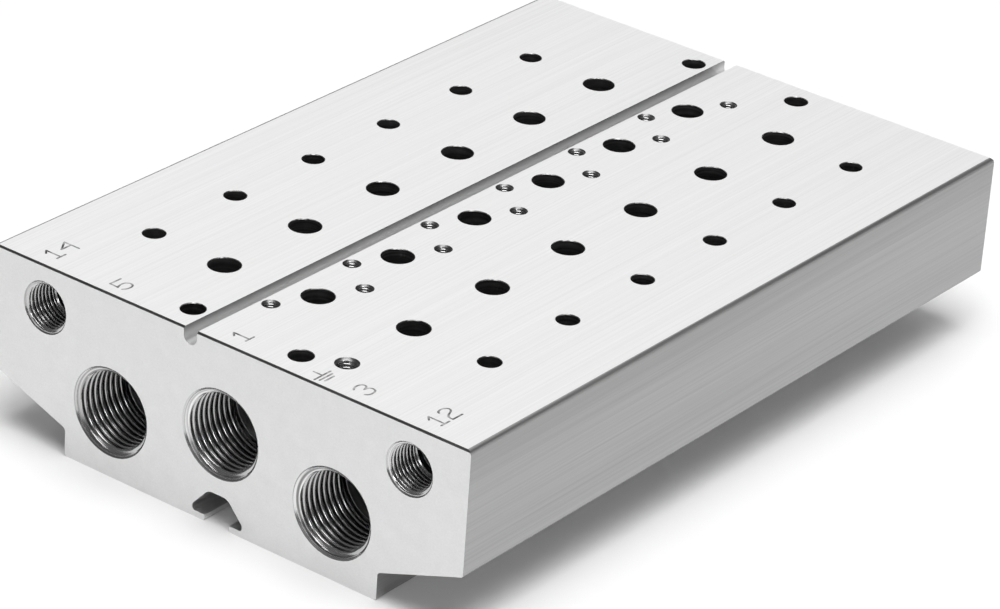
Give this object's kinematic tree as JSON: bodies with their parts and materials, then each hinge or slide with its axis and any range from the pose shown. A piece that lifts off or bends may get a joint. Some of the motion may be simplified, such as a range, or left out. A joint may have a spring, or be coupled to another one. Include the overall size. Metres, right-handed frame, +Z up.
{
  "type": "pneumatic valve manifold rail",
  "caption": "Aluminium manifold rail for side-by-side pneumatic valves, with tapped galleries at its ends, drilled valve seats on top and an undercut slot in its foot.",
  "frame": {"origin": "middle of the foot's underside", "axes": "+Z up through the valve seats, +Y along the rail to its rear end, -Y the front end with the earth screw, +X towards ports 3 and 12"},
  "size_m": [0.108, 0.16, 0.036],
  "materials": {
    "aluminium": "brushed lengthwise, plain, with milled and sawn end faces"
  },
  "bodies": {
    "root": {"manifold_block": "aluminium"}
  },
  "joints": []
}
